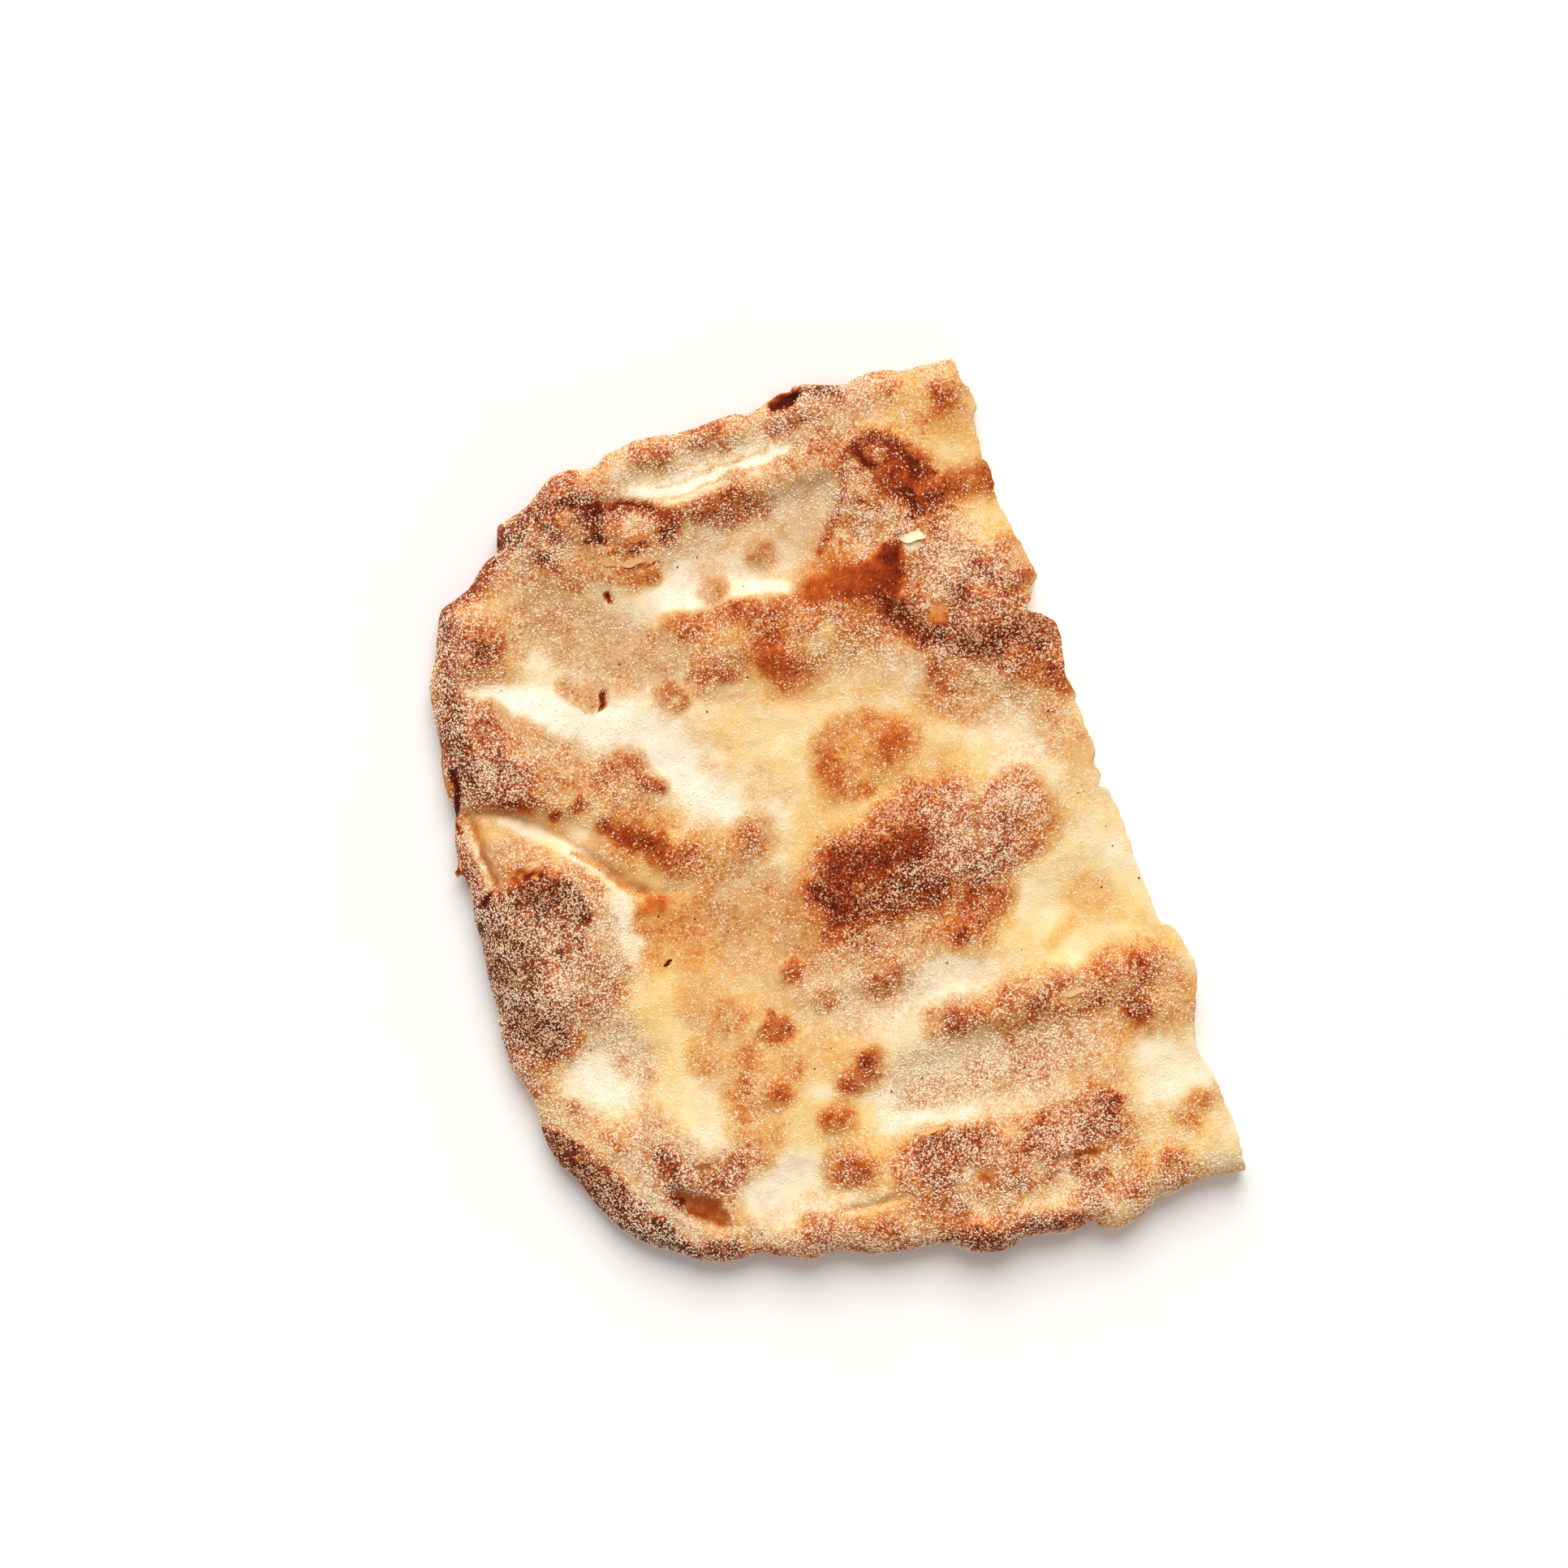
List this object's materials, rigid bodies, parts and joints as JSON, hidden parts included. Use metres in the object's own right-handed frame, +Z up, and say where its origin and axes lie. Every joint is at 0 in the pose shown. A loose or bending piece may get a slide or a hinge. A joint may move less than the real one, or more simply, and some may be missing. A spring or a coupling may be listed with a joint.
{
  "type": "flatbread piece",
  "caption": "Cut end piece of a baked white pizza bread with a rounded rim, toasted blisters, pale hollows and semolina dust, lying flat.",
  "frame": {"origin": "on the surface it lies on, under the middle of the piece's bounding box", "axes": "+Z up out of the floured upper crust; +Y along the knife cut, towards the end with the long pale hollow; +X out of the cut"},
  "size_m": [0.1666, 0.2232, 0.0177],
  "materials": {
    "baked_crust": "dry browned crust with blisters, dusted with semolina"
  },
  "bodies": {
    "root": {"pizza_bianca": "baked_crust"}
  },
  "joints": []
}
